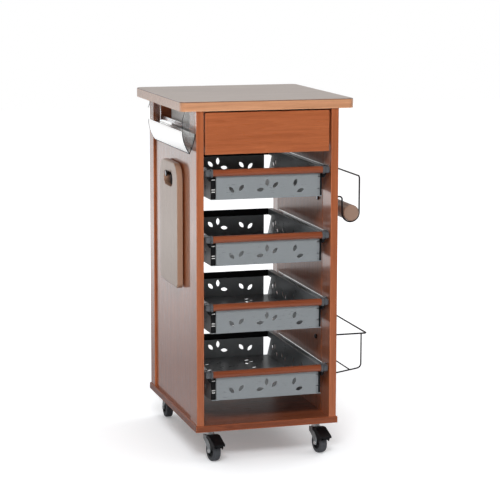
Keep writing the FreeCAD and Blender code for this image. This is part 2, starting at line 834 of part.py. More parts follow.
def brake_pedal():
    """Curved pedal over the wheel with a foot tongue; it turns on its pin towards the tyre."""
    half = pedal_half_width
    inner = wheel_radius + pedal_gap
    outer = inner + pedal_thickness
    middle_angle = (pedal_back_angle + pedal_front_angle) / 2
    upper_middle = (pedal_back_angle + pedal_tongue_top_angle) / 2
    lower_middle = (pedal_tongue_low_angle + pedal_front_angle) / 2
    tip = Vector(pedal_reach, -half, pedal_tip_z)
    tip_low = tip - Vector(0, 0, pedal_tip_thickness)
    edges = [
        Part.Arc(around_axle(inner, pedal_back_angle, -half), around_axle(inner, middle_angle, -half),
                 around_axle(inner, pedal_front_angle, -half)).toShape(),
        Part.LineSegment(around_axle(inner, pedal_front_angle, -half),
                         around_axle(outer, pedal_front_angle, -half)).toShape(),
        Part.Arc(around_axle(outer, pedal_front_angle, -half), around_axle(outer, lower_middle, -half),
                 around_axle(outer, pedal_tongue_low_angle, -half)).toShape(),
        Part.LineSegment(around_axle(outer, pedal_tongue_low_angle, -half), tip_low).toShape(),
        Part.LineSegment(tip_low, tip).toShape(),
        Part.LineSegment(tip, around_axle(outer, pedal_tongue_top_angle, -half)).toShape(),
        Part.Arc(around_axle(outer, pedal_tongue_top_angle, -half), around_axle(outer, upper_middle, -half),
                 around_axle(outer, pedal_back_angle, -half)).toShape(),
        Part.LineSegment(around_axle(outer, pedal_back_angle, -half),
                         around_axle(inner, pedal_back_angle, -half)).toShape(),
    ]
    curve = extruded(edges, Vector(0, 2 * half, 0))
    left = Vector(pedal_pin_x, -half, pedal_pin_z)
    right = Vector(pedal_pin_x, half, pedal_pin_z)
    boss = rod(pedal_boss_radius, left, right)
    return fused([curve, boss]).cut(rod(pedal_pin_radius + shaft_clearance, left, right))


def at_castor(shape, x, y):
    """Set a castor piece in its corner, trailing to the back, or to the front and a little to the right."""
    placed = shape.copy()
    placed.rotate(Vector(0, 0, 0), Vector(0, 0, 1), 90 if y > 0 else front_castor_turn - 90)
    placed.translate(Vector(x, y, 0))
    return placed


def main():
    os.makedirs("parts", exist_ok=True)

    save("worktop", worktop())
    save("base_board", base_board())
    save("right_front_post", front_post())
    save("right_rear_post", rear_post())
    save("right_panel", right_panel())
    save("left_front_post", mirrored_x(front_post()))
    save("left_rear_post", mirrored_x(rear_post()))
    save("left_panel", left_panel())
    save("rear_rail", rear_rail())

    save("drawer_runners", drawer_runner(), mirrored_x(drawer_runner()))
    save("drawer_front", drawer_front())
    save("drawer_right_side", drawer_side())
    save("drawer_left_side", mirrored_x(drawer_side()))
    save("drawer_back", drawer_back())
    save("drawer_bottom", drawer_bottom(0.0))

    save("basket_channels_right", *[basket_channel(z) for z in handle_heights])
    save("basket_channels_left", *[mirrored_x(basket_channel(z)) for z in handle_heights])
    for number, handle_z in enumerate(handle_heights, 1):
        save("basket_%d_tray" % number, basket_tray(handle_z))
        save("basket_%d_handle" % number, basket_handle(handle_z))
        save("basket_%d_caps" % number, basket_cap(handle_z), mirrored_x(basket_cap(handle_z)))

    save("trough_shell", trough_shell())
    save("trough_ends", *trough_ends())
    save("chopping_board", chopping_board())
    save("board_peg", board_peg())
    save("paper_roll", paper_roll())
    save("roll_holder", roll_holder())
    save("bottle_rack", bottle_rack())
    save("wire_nuts", *wire_nuts())

    corners = (("front_left", -castor_x, -castor_y), ("front_right", castor_x, -castor_y),
               ("rear_left", -castor_x, castor_y), ("rear_right", castor_x, castor_y))
    save("castor_stems", *[at_castor(castor_stem(), x, y) for _, x, y in corners])
    for name, x, y in corners:
        braked = y < 0
        pins = [castor_axle()] + ([pedal_pin()] if braked else [])
        save("castor_%s_fork" % name, at_castor(castor_fork(braked), x, y))
        save("castor_%s_axle" % name, *[at_castor(pin, x, y) for pin in pins])
        save("castor_%s_hub" % name, at_castor(castor_hub(), x, y))
        save("castor_%s_tyre" % name, at_castor(castor_tyre(), x, y))
        if braked:
            save("castor_%s_pedal" % name, at_castor(brake_pedal(), x, y))


main()
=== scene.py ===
import math

import bmesh
import bpy
from mathutils import Matrix, Vector


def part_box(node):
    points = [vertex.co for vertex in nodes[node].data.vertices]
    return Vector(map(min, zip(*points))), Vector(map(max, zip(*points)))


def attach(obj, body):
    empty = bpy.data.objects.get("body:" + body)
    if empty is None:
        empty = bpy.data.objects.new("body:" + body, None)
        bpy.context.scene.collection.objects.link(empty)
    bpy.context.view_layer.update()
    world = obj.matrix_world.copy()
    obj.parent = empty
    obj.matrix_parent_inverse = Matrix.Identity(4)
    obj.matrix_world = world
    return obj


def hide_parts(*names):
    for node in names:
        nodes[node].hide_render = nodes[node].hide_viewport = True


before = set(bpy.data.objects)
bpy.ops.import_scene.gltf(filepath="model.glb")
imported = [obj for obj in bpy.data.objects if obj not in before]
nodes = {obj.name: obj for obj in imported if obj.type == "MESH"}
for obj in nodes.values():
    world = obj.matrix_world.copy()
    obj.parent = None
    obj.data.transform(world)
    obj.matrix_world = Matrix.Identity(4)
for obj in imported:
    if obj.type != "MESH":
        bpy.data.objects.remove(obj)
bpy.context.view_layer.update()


# Worktop: a 23 mm board with a greyish beige laminate on top and a cherry lipping all round, its corners
# rounded. Like the rest of the case it is lacquered to a satin gloss; it is screwed down on the posts.
def place(tree, kind, inputs=None, **options):
    """Add a shader node, set its options, and set or link its inputs."""
    node = tree.nodes.new(kind)
    for option, value in options.items():
        setattr(node, option, value)
    for socket, value in (inputs or {}).items():
        if isinstance(value, bpy.types.NodeSocket):
            tree.links.new(value, node.inputs[socket])
        else:
            node.inputs[socket].default_value = value
    return node


def arithmetic(tree, operation, first, second):
    return place(tree, "ShaderNodeMath", {0: first, 1: second}, operation=operation).outputs[0]


def ranged(tree, value, low, high, to_low, to_high):
    limits = {"Value": value, "From Min": low, "From Max": high, "To Min": to_low, "To Max": to_high}
    return place(tree, "ShaderNodeMapRange", limits).outputs["Result"]


def mixed_colour(tree, factor, first, second):
    node = place(tree, "ShaderNodeMix", data_type="RGBA")
    for socket, value in ((node.inputs[0], factor), (node.inputs[6], first), (node.inputs[7], second)):
        if isinstance(value, bpy.types.NodeSocket):
            tree.links.new(value, socket)
        else:
            socket.default_value = value
    return node.outputs[2]


def noise(tree, vector, scale, detail, roughness=0.5, distortion=0.0):
    settings = {"Vector": vector, "Scale": scale, "Detail": detail, "Roughness": roughness,
                "Distortion": distortion}
    return place(tree, "ShaderNodeTexNoise", settings).outputs[0]


def vector_arithmetic(tree, operation, first, second):
    return place(tree, "ShaderNodeVectorMath", {0: first, 1: second}, operation=operation).outputs[0]


def effect_group(name, inputs, outputs):
    """An empty shader group with named sockets; returns its tree, its inputs and its output node."""
    tree = bpy.data.node_groups.new(name, "ShaderNodeTree")
    for label, kind in inputs:
        tree.interface.new_socket(label, in_out="INPUT", socket_type="NodeSocket" + kind)
    for label, kind in outputs:
        tree.interface.new_socket(label, in_out="OUTPUT", socket_type="NodeSocket" + kind)
    return tree, tree.nodes.new("NodeGroupInput").outputs, tree.nodes.new("NodeGroupOutput")


def build_cherry_grain():
    """Straight cherry figure: broad growth rings, fine streaks and short dark pores along the grain."""
    tree, given, result = effect_group(
        "cherry_grain",
        [("Vector", "Vector"), ("Stretch", "Vector"), ("Light", "Color"), ("Dark", "Color")],
        [("Color", "Color"), ("Roughness", "Float"), ("Height", "Float")])
    ring_count = 17.0
    broad_share, ring_share, fine_share, pore_share = 0.45, 0.22, 0.33, 0.35
    along = vector_arithmetic(tree, "MULTIPLY", given["Vector"], given["Stretch"])
    broad = noise(tree, along, scale=1.0, detail=3.0, distortion=0.5)
    rings = arithmetic(tree, "PINGPONG", arithmetic(tree, "MULTIPLY", broad, ring_count), 1.0)
    fine = noise(tree, along, scale=7.0, detail=5.0, roughness=0.68)
    pores = noise(tree, along, scale=26.0, detail=2.0)
    pore_mask = ranged(tree, pores, 0.60, 0.72, 0.0, 1.0)
    tone = arithmetic(tree, "MULTIPLY", ranged(tree, broad, 0.3, 0.7, 0.0, 1.0), broad_share)
    tone = arithmetic(tree, "ADD", tone, arithmetic(tree, "MULTIPLY", rings, ring_share))
    streaks = arithmetic(tree, "MULTIPLY", ranged(tree, fine, 0.3, 0.7, 0.0, 1.0), fine_share)
    tone = arithmetic(tree, "ADD", tone, streaks)
    colour = mixed_colour(tree, tone, given["Light"], given["Dark"])
    colour = mixed_colour(tree, arithmetic(tree, "MULTIPLY", pore_mask, pore_share), colour, given["Dark"])
    tree.links.new(colour, result.inputs["Color"])
    tree.links.new(ranged(tree, fine, 0.3, 0.7, 0.25, 0.37), result.inputs["Roughness"])
    tree.links.new(arithmetic(tree, "SUBTRACT", fine, pore_mask), result.inputs["Height"])
    return tree


def build_edge_wear():
    """Mask along the edges of a board, from its two corners, broken up where hands have rubbed it more."""
    tree, given, result = effect_group(
        "edge_wear",
        [("Vector", "Vector"), ("Low", "Vector"), ("High", "Vector"), ("Width", "Float")],
        [("Mask", "Float")])
    from_low = vector_arithmetic(tree, "SUBTRACT", given["Vector"], given["Low"])
    from_high = vector_arithmetic(tree, "SUBTRACT", given["High"], given["Vector"])
    nearest = vector_arithmetic(tree, "MINIMUM", from_low, from_high)
    x, y, z = place(tree, "ShaderNodeSeparateXYZ", {0: nearest}).outputs
    low_xy = arithmetic(tree, "MINIMUM", x, y)
    high_xy = arithmetic(tree, "MAXIMUM", x, y)
    middle = arithmetic(tree, "MAXIMUM", low_xy, arithmetic(tree, "MINIMUM", high_xy, z))
    rubbed = noise(tree, given["Vector"], scale=38.0, detail=3.0)
    reach = arithmetic(tree, "MULTIPLY", given["Width"], ranged(tree, rubbed, 0.3, 0.7, 0.4, 1.6))
    near = arithmetic(tree, "SUBTRACT", 1.0, arithmetic(tree, "DIVIDE", middle, reach))
    clamped = place(tree, "ShaderNodeClamp", {"Value": near})
    tree.links.new(clamped.outputs[0], result.inputs["Mask"])
    return tree


cherry_grain = build_cherry_grain()
edge_wear = build_edge_wear()


def plain_material(name):
    """A new material; returns it with its tree, its Principled shader and the object's own coordinates."""
    material = bpy.data.materials.new(name)
    material.use_nodes = True
    tree = material.node_tree
    shader = tree.nodes["Principled BSDF"]
    return material, tree, shader, tree.nodes.new("ShaderNodeTexCoord").outputs["Object"]


def roughen(tree, shader, height, strength, distance):
    """Fine relief on a surface, from a height that varies over it."""
    relief = place(tree, "ShaderNodeBump", {"Height": height, "Strength": strength, "Distance": distance})
    tree.links.new(relief.outputs["Normal"], shader.inputs["Normal"])


def dress(piece, material):
    piece.data.materials.clear()
    piece.data.materials.append(material)


GRAIN_X = (4.0, 95.0, 95.0)
GRAIN_Y = (95.0, 4.0, 95.0)
GRAIN_Z = (95.0, 95.0, 4.0)
worn_width = 0.0022
worn_share = 0.55
worn_dulling = 0.12
lacquer_roughness = 0.12


def grain_figure(tree, spot, grain, light, dark):
    figure = place(tree, "ShaderNodeGroup", {"Vector": spot, "Stretch": grain}, node_tree=cherry_grain)
    figure.inputs["Light"].default_value = (*light, 1.0)
    figure.inputs["Dark"].default_value = (*dark, 1.0)
    return figure


def lacquered_wood(name, low, high, grain, light, dark, coat=0.5):
    """Cherry under satin lacquer, a little paler and duller along the edges."""
    material, tree, shader, spot = plain_material(name)
    figure = grain_figure(tree, spot, grain, light, dark)
    wear = place(tree, "ShaderNodeGroup", {"Vector": spot, "Low": low, "High": high, "Width": worn_width},
                 node_tree=edge_wear)
    worn = [min(1.0, 1.25 * channel + 0.03) for channel in light]
    edge = arithmetic(tree, "MULTIPLY", wear.outputs["Mask"], worn_share)
    colour = mixed_colour(tree, edge, figure.outputs["Color"], (*worn, 1.0))
    tree.links.new(colour, shader.inputs["Base Color"])
    duller = arithmetic(tree, "MULTIPLY", wear.outputs["Mask"], worn_dulling)
    tree.links.new(arithmetic(tree, "ADD", figure.outputs["Roughness"], duller), shader.inputs["Roughness"])
    roughen(tree, shader, figure.outputs["Height"], strength=0.06, distance=0.0005)
    shader.inputs["Coat Weight"].default_value = coat
    shader.inputs["Coat Roughness"].default_value = lacquer_roughness
    return material


def lacquer_node(node, grain, light, dark, coat=0.5):
    dress(nodes[node], lacquered_wood("lacquered_" + node, *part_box(node), grain, light, dark, coat))


lipping_light = (0.79, 0.405, 0.225)
lipping_dark = (0.49, 0.216, 0.105)
lipping_coat = 0.8
facing_light = (0.69, 0.560, 0.490)
facing_dark = (0.51, 0.397, 0.334)
facing_coat = 0.36
facing_dulling = 0.10
facing_depth = 0.0016
glue_colour = (0.05, 0.022, 0.014, 1.0)
glue_share = 0.75


def face_with_laminate(material, glue_line):
    """Greyer, duller facing above a dark glue line, on a board whose lipping shows below it."""
    tree = material.node_tree
    shader = tree.nodes["Principled BSDF"]
    lipping = shader.inputs["Base Color"].links[0].from_socket
    gloss = shader.inputs["Roughness"].links[0].from_socket
    spot = tree.nodes.new("ShaderNodeTexCoord").outputs["Object"]
    figure = grain_figure(tree, spot, GRAIN_X, facing_light, facing_dark)
    level = place(tree, "ShaderNodeSeparateXYZ", {0: spot}).outputs["Z"]
    over_line = arithmetic(tree, "SUBTRACT", level, glue_line)
    faced = ranged(tree, over_line, 0.0, 0.0004, 0.0, 1.0)
    colour = mixed_colour(tree, faced, lipping, figure.outputs["Color"])
    on_line = ranged(tree, arithmetic(tree, "ABSOLUTE", over_line, 0.0), 0.0006, 0.0011, glue_share, 0.0)
    tree.links.new(mixed_colour(tree, on_line, colour, glue_colour), shader.inputs["Base Color"])
    duller = arithmetic(tree, "MULTIPLY", faced, facing_dulling)
    tree.links.new(arithmetic(tree, "ADD", gloss, duller), shader.inputs["Roughness"])
    tree.links.new(ranged(tree, faced, 0.0, 1.0, lipping_coat, facing_coat), shader.inputs["Coat Weight"])


lacquer_node("worktop", GRAIN_X, lipping_light, lipping_dark)
face_with_laminate(nodes["worktop"].data.materials[0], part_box("worktop")[1].z - facing_depth)


# Base board: a 16 mm cherry board, darker than the sides, with a small lip all round.
# It is screwed up into the posts, and the castors are screwed to its underside.
base_light = (0.40, 0.108, 0.040)
base_dark = (0.14, 0.031, 0.010)
lacquer_node("base_board", GRAIN_X, base_light, base_dark, coat=0.0)


# Posts: 18 mm cherry uprights at the four corners, grooved for the panels and screwed to base and worktop.
# Their grain runs upright.
case_light = (0.56, 0.165, 0.058)
case_dark = (0.31, 0.074, 0.022)
for post in ("right_front_post", "right_rear_post", "left_front_post", "left_rear_post"):
    lacquer_node(post, GRAIN_Z, case_light, case_dark, coat=0.8)


# Side panels: 13 mm cherry panels whose tongues sit in the grooves of the posts, flush inside and set back
# outside. The left one stops below the worktop and leaves the drawer's side open to view over the trough.
lacquer_node("right_panel", GRAIN_Z, case_light, case_dark, coat=0.1)
lacquer_node("left_panel", GRAIN_Z, case_light, case_dark, coat=0.9)


# Rear rail: a cherry board across the back, under the worktop, screwed between the rear posts.
# It holds the two sides apart where the drawer leaves no room for a shelf.
lacquer_node("rear_rail", GRAIN_X, case_light, case_dark)


# Drawer: a cherry front on a box of boards limed nearly white, grooved to slide on steel runners.
# The front has no knob: it is pulled by its lower edge.
limed_light = (0.76, 0.74, 0.70)
limed_dark = (0.62, 0.59, 0.54)
lacquer_node("drawer_front", GRAIN_X, case_light, case_dark)
for side in ("drawer_right_side", "drawer_left_side", "drawer_bottom"):
    lacquer_node(side, GRAIN_Y, limed_light, limed_dark, coat=0.1)
lacquer_node("drawer_back", GRAIN_X, limed_light, limed_dark, coat=0.1)


# Basket channels and drawer runners: bent strips and bars of zinc-plated steel, screwed to the posts and
# panels. A basket's lip runs inside its channels, and the drawer's grooves run on the bars.
def build_rolled_sheet():
    """Fine lines left by rolling and drawing metal, with faint clouds of handling over them."""
    tree, given, result = effect_group(
        "rolled_sheet",
        [("Vector", "Vector"), ("Stretch", "Vector"), ("Smooth", "Float"), ("Rough", "Float")],
        [("Shade", "Float"), ("Roughness", "Float"), ("Height", "Float")])
    line_share, cloud_share = 0.6, 0.4
    along = vector_arithmetic(tree, "MULTIPLY", given["Vector"], given["Stretch"])
    lines = noise(tree, along, scale=1.0, detail=4.0, roughness=0.7)
    clouds = noise(tree, given["Vector"], scale=22.0, detail=4.0)
    blend = arithmetic(tree, "ADD", arithmetic(tree, "MULTIPLY", lines, line_share),
                       arithmetic(tree, "MULTIPLY", clouds, cloud_share))
    spread = ranged(tree, blend, 0.35, 0.65, given["Smooth"], given["Rough"])
    tree.links.new(ranged(tree, blend, 0.3, 0.7, 0.95, 1.05), result.inputs["Shade"])
    tree.links.new(spread, result.inputs["Roughness"])
    tree.links.new(lines, result.inputs["Height"])
    return tree


rolled_sheet = build_rolled_sheet()


def metal(name, colour, smooth, rough, stretch=(300.0, 40.0, 300.0), metallic=1.0, bump=0.03):
    """Bare, plated or painted metal with rolling lines in its gloss."""
    material, tree, shader, spot = plain_material(name)
    settings = {"Vector": spot, "Stretch": stretch, "Smooth": smooth, "Rough": rough}
    lines = place(tree, "ShaderNodeGroup", settings, node_tree=rolled_sheet).outputs
    tint = place(tree, "ShaderNodeVectorMath", {0: colour, "Scale": lines["Shade"]}, operation="SCALE")
    tree.links.new(tint.outputs[0], shader.inputs["Base Color"])
    tree.links.new(lines["Roughness"], shader.inputs["Roughness"])
    roughen(tree, shader, lines["Height"], strength=bump, distance=0.0003)
    shader.inputs["Metallic"].default_value = metallic
    return material


zinc_plate = metal("zinc_plate", (0.66, 0.66, 0.67), 0.16, 0.24)
for strip in ("basket_channels_right", "basket_channels_left", "drawer_runners"):
    dress(nodes[strip], zinc_plate)


def new_piece(name, mesh_maker, material, body, slot, *stands_for):
    """Mesh object made by mesh_maker in the row's own metres, riding on a body."""
    shape = bmesh.new()
    mesh_maker(shape)
    bmesh.ops.recalc_face_normals(shape, faces=shape.faces)
    mesh = bpy.data.meshes.new(name)
    shape.to_mesh(mesh)
    shape.free()
    piece = bpy.data.objects.new(name, mesh)
    bpy.context.scene.collection.objects.link(piece)
    mesh.materials.append(material)
    mesh.shade_smooth()
    mesh.set_sharp_from_angle(angle=math.radians(38))
    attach(piece, body)
    if stands_for:
        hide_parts(*stands_for)


def skinned(shape, rings):
    """Join closed rings of points into a skin, with a face over each end."""
    rows = [[shape.verts.new(point) for point in ring] for ring in rings]
    for row, after in zip(rows, rows[1:]):
        for n in range(len(row)):
            m = (n + 1) % len(row)
            shape.faces.new((row[n], row[m], after[m], after[n]))
    shape.faces.new(rows[0][::-1])
    shape.faces.new(rows[-1])


def swept(shape, path, radius, sides=8):
    """Round strip along a path of points."""
    rings = []
    for n, point in enumerate(path):
        ahead = (path[min(n + 1, len(path) - 1)] - path[max(n - 1, 0)]).normalized()
        across = ahead.orthogonal().normalized() if abs(ahead.y) > 0.9 else Vector((0.0, 1.0, 0.0))
        other = ahead.cross(across).normalized()
        turns = [2 * math.pi * k / sides for k in range(sides)]
        rings.append([point + across * (radius * math.cos(turn)) + other * (radius * math.sin(turn))
                      for turn in turns])
    skinned(shape, rings)


channel_top = 0.0100
channel_bead = 0.0013


def channel_beads(shape):
    """Rolled bead along the inner top edge of every channel."""
    for number in range(1, 5):
        bar_low, bar_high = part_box("basket_%d_handle" % number)
        z = (bar_low.z + bar_high.z) / 2 + channel_top
        for strip, inner in (("basket_channels_right", 0), ("basket_channels_left", 1)):
            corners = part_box(strip)
            edge = [Vector((corners[inner].x, y, z)) for y in (corners[0].y, corners[1].y)]
            swept(shape, edge, channel_bead)


bright_zinc = metal("bright_zinc", (0.93, 0.93, 0.94), 0.10, 0.16)
new_piece("channel_beads", channel_beads, bright_zinc, "case", "channel_steel")


# Baskets: trays folded from pierced sheet steel with a satin grey finish; leaf shapes are cut in every
# face. Each has a round cherry bar along its front, held in a plastic cap at either end. Black pieces on
# its corners are partly trim and partly painted shade, set with pale lugs that are painted glints, and a
# black strip along its rear edge is painted shade on the folded rim.
basket_steel = metal("basket_steel", (0.34, 0.365, 0.38), 0.26, 0.36, stretch=(60.0, 60.0, 420.0),
                     metallic=0.25)
bar_light = (0.37, 0.102, 0.042)
bar_dark = (0.19, 0.043, 0.016)


def moulded(name, colour, smooth, rough, grain_size=900.0, bump=0.08):
    """Moulded plastic or rubber with a fine spark-eroded texture and a little scuffing."""
    material, tree, shader, spot = plain_material(name)
    pits = noise(tree, spot, scale=grain_size, detail=2.0)
    scuffs = noise(tree, spot, scale=60.0, detail=6.0, roughness=0.7)
    paler = [min(1.0, channel * 1.5 + 0.01) for channel in colour]
    scuffed = ranged(tree, scuffs, 0.5, 0.75, 0.0, 0.6)
    tree.links.new(mixed_colour(tree, scuffed, (*colour, 1.0), (*paler, 1.0)), shader.inputs["Base Color"])
    tree.links.new(ranged(tree, scuffs, 0.3, 0.7, smooth, rough), shader.inputs["Roughness"])
    roughen(tree, shader, pits, strength=bump, distance=0.0002)
    return material


def rounded_square(half_y, half_z, corner, steps=5):
    """Points of a rounded rectangle in the YZ plane, about its own middle."""
    points = []
    for quarter in range(4):
        sign_y, sign_z = ((1, 1), (-1, 1), (-1, -1), (1, -1))[quarter]
        for step in range(steps + 1):
            turn = math.radians(90 * (quarter + step / steps))
            points.append((sign_y * (half_y - corner) + corner * math.cos(turn),
                           sign_z * (half_z - corner) + corner * math.sin(turn)))
    return points


cap_collar = 0.0055
cap_groove = 0.0014
cap_groove_depth = 0.0024
cap_shoulder = 0.0012
cap_corner = 0.0050
cap_plastic = moulded("cap_plastic", (0.10, 0.104, 0.113), 0.30, 0.45)


def end_cap(shape, inner, outer, y0, y1, z0, z1):
    """Collar at the bar, a sunk groove, a slightly smaller block and a rounded outer end."""
    run = outer - inner
    way = math.copysign(1.0, run)
    body = cap_collar + cap_groove
    stops = [(0.0, 0.0010), (0.0008, 0.0), (cap_collar - 0.0006, 0.0), (cap_collar, 0.0008),
             (cap_collar + 0.0001, cap_groove_depth), (body - 0.0001, cap_groove_depth),
             (body, cap_shoulder + 0.0008), (body + 0.0008, cap_shoulder),
             (abs(run) - 0.0046, cap_shoulder), (abs(run) - 0.0022, cap_shoulder + 0.0006),
             (abs(run) - 0.0007, cap_shoulder + 0.0018), (abs(run), cap_shoulder + 0.0036)]
    middle_y, middle_z = (y0 + y1) / 2, (z0 + z1) / 2
    rings = []
    for along, inset in stops:
        square = rounded_square((y1 - y0) / 2 - inset, (z1 - z0) / 2 - inset, cap_corner - inset / 2)
        rings.append([(inner + way * along, middle_y + y, middle_z + z) for y, z in square])
    skinned(shape, rings)


# Black plastic for the hubs, pedals and guards; the same black is also used as painted shade on the
# baskets' corner covers and rear strips, the trough's edging and the plate behind the board's hand hole.
black_plastic = moulded("black_plastic", (0.006, 0.006, 0.007), 0.36, 0.52)
black_plastic.node_tree.nodes["Principled BSDF"].inputs["Specular IOR Level"].default_value = 0.3
# Pale plastic for the lugs on the corner covers: painted glints of light.
glint_lug_plastic = moulded("glint_lug_plastic", (0.80, 0.80, 0.78), 0.35, 0.5)


def cap_foot(shape, wall, tip, y0, y1, z0, z1):
    """Tapered foot under the cap, beside the tray's corner."""
    rings = []
    for share, inset in ((0.0, 0.0012), (0.12, 0.0), (0.85, 0.0002), (1.0, 0.0016)):
        z = z1 + (z0 - z1) * share
        reach = tip[0] + (tip[1] - tip[0]) * share
        middle_x, half_x = (wall + reach) / 2, abs(reach - wall) / 2 - inset
        middle_y, half_y = (y0 + y1) / 2, (y1 - y0) / 2 - inset
        square = rounded_square(half_x, half_y, 0.0015, steps=3)
        rings.append([(middle_x + x, middle_y + y, z) for x, y in square])
    skinned(shape, rings)


def rounded_bar(shape, low, high, corner):
    """Upright bar between two opposite corners, its edges rounded all round."""
    middle = [(a + b) / 2 for a, b in zip(low, high)]
    half = [(b - a) / 2 for a, b in zip(low, high)]
    eased = 0.3 * corner
    rings = []
    for z, inset in ((low[2], corner), (low[2] + eased, eased), (low[2] + corner, 0.0),
                     (high[2] - corner, 0.0), (high[2] - eased, eased), (high[2], corner)):
        square = rounded_square(half[0] - inset, half[1] - inset, 0.6 * corner, steps=3)
        rings.append([(middle[0] + x, middle[1] + y, z) for x, y in square])
    skinned(shape, rings)


cap_length = 0.018
tray_wall = 0.138
foot_reach = (tray_wall + 0.010, tray_wall + 0.005)
plate_end = 0.1265
plate_drop = 0.0630
right_strip = 0.1340
cover_thickness = 0.0040
lug_drops = (0.0165, 0.0400, 0.0455)
lug_half = 0.0011
lug_inset = 0.0015
lug_proud = 0.0012
lug_sunk = 0.0010
rim_height = 0.0165
rim_thickness = 0.0046
rim_proud = 0.0005


def basket_caps(number):
    """End caps of one basket, in the place of its CAD caps; black corner pieces, partly trim and partly
    painted shade, with pale lugs as painted glints; and a black rear strip as painted shade.
    """
    low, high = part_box("basket_%d_caps" % number)
    bar_low, bar_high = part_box("basket_%d_handle" % number)
    centre = (low.x + high.x) / 2
    bar_z = (bar_low.z + bar_high.z) / 2
    half = high.z - bar_z
    cover_front = high.y - cover_thickness
    tray_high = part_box("basket_%d_tray" % number)[1]
    body = "basket_%d" % number

    def caps(shape):
        for side in (-1, 1):
            outer = high.x if side > 0 else low.x
            end_cap(shape, outer - side * cap_length, outer, low.y, high.y, bar_z - half, bar_z + half)

    # Black feet and cover strips at both corners: partly trim, partly painted shade for the shaded gaps
    # beside the front plate.
    def covers(shape):
        for side in (-1, 1):
            tip = [centre + side * reach for reach in foot_reach]
            wall = centre + side * tray_wall
            cap_foot(shape, wall, tip, (low.y + high.y) / 2, high.y, low.z, bar_z - half)
            ends = sorted((centre + side * (plate_end if side < 0 else right_strip), wall))
            rounded_bar(shape, (ends[0], cover_front, bar_z - plate_drop), (ends[1], high.y, bar_z - half),
                        corner=0.0012)

    # Three pale lugs on the left corner cover: painted glints.
    def lugs(shape):
        for drop in lug_drops:
            z = bar_z - drop
            rounded_bar(shape, (centre - tray_wall + lug_inset, cover_front - lug_proud, z - lug_half),
                        (centre - plate_end - lug_inset, cover_front + lug_sunk, z + lug_half),
                        corner=0.0005)

    # Black strip over the tray's rear rim: painted shade for the folded hem.
    def rear_shade_strip(shape):
        half_width = tray_wall - rim_proud
        rounded_bar(shape, (centre - half_width, tray_high.y - rim_thickness, tray_high.z - rim_height),
                    (centre + half_width, tray_high.y + rim_proud, tray_high.z + rim_proud), corner=0.0010)

    new_piece(body + "_end_caps", caps, cap_plastic, body, "grey_plastic", body + "_caps")
    new_piece(body + "_corner_shade_covers", covers, black_plastic, body, "black_plastic")
    new_piece(body + "_corner_glint_lugs", lugs, glint_lug_plastic, body, "grey_plastic")
    new_piece(body + "_rear_shade_strip", rear_shade_strip, black_plastic, body, "black_plastic")


for number in range(1, 5):
    dress(nodes["basket_%d_tray" % number], basket_steel)
    lacquer_node("basket_%d_handle" % number, GRAIN_X, bar_light, bar_dark)
    basket_caps(number)


# Trough: a pointed trough of polished steel sheet under the left overhang, with a beaded lip.
# Clear moulded end plates close it and carry it up to the worktop.
polished_sheet = metal("polished_sheet", (0.75, 0.745, 0.74), 0.10, 0.20, stretch=(300.0, 12.0, 300.0),
                       bump=0.02)
dress(nodes["trough_shell"], polished_sheet)


def clear_plastic(name):
    """Clear plastic with its rim faces tinted dark grey as painted shade, and slight ripples from moulding.
    """
    material, tree, shader, spot = plain_material(name)
    ripples = noise(tree, spot, scale=45.0, detail=1.0)
    roughen(tree, shader, ripples, strength=0.05, distance=0.0005)
    tree.links.new(ranged(tree, ripples, 0.3, 0.7, 0.02, 0.07), shader.inputs["Roughness"])
    facing = tree.nodes.new("ShaderNodeNewGeometry").outputs["True Normal"]
    lengthways = place(tree, "ShaderNodeSeparateXYZ", {0: facing}).outputs["Y"]
    rim = arithmetic(tree, "LESS_THAN", arithmetic(tree, "ABSOLUTE", lengthways, 0.0), 0.5)
    clear = (0.95, 0.96, 0.96, 1.0)
    rim_painted_shade = (0.10, 0.105, 0.11, 1.0)
    tree.links.new(mixed_colour(tree, rim, clear, rim_painted_shade), shader.inputs["Base Color"])
    shader.inputs["Transmission Weight"].default_value = 1.0
    shader.inputs["IOR"].default_value = 1.49
    return material


dress(nodes["trough_ends"], clear_plastic("clear_plastic"))


def bowed(start, end, bulge, steps=10):
    """Points from start to end, bowed outward by bulge along X."""
    points = []
    for n in range(steps + 1):
        share = n / steps
        point = start.lerp(end, share)
        point.x -= bulge * 4 * share * (1 - share)
        points.append(point)
    return points


edging = 0.00045
edging_bead = 0.0009
end_plate_middle = 0.0015
keel_inset = 0.014
shell_bow = 0.0045
wall_bow = -0.002
wall_drop = 0.006
shoulder_drop = 0.020
shoulder_inset = 0.006


def trough_shade_lines(shape):
    """Thin dark edging round each clear end, thicker on the shell's front, and a strip under the keel:
    painted shade for the dark outline of the clear ends and the shadow line under the keel.
    """
    shell_low, shell_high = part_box("trough_shell")
    plate_low, plate_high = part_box("trough_ends")
    keel_x = shell_high.x - keel_inset
    front = plate_low.y + end_plate_middle
    for y in (front, plate_high.y - end_plate_middle):
        lip = Vector((shell_low.x, y, shell_high.z))
        keel = Vector((keel_x, y, shell_low.z))
        wall = Vector((shell_high.x - edging, y, shell_high.z - wall_drop))
        shoulder = Vector((plate_low.x, y, plate_high.z - shoulder_drop))
        top = Vector((plate_low.x + shoulder_inset, y, plate_high.z - edging))
        swept(shape, [top] + bowed(shoulder, lip, 0.0, 3) + bowed(lip, keel, shell_bow)[1:]
              + bowed(keel, wall, wall_bow)[1:], edging)
    front_lip = Vector((shell_low.x, front, shell_high.z))
    front_keel = Vector((keel_x, front, shell_low.z))
    swept(shape, bowed(front_lip, front_keel, shell_bow), edging_bead)
    swept(shape, [Vector((keel_x, y, shell_low.z)) for y in (shell_low.y, shell_high.y)], edging_bead)


new_piece("trough_shade_lines", trough_shade_lines, black_plastic, "case", "black_plastic")


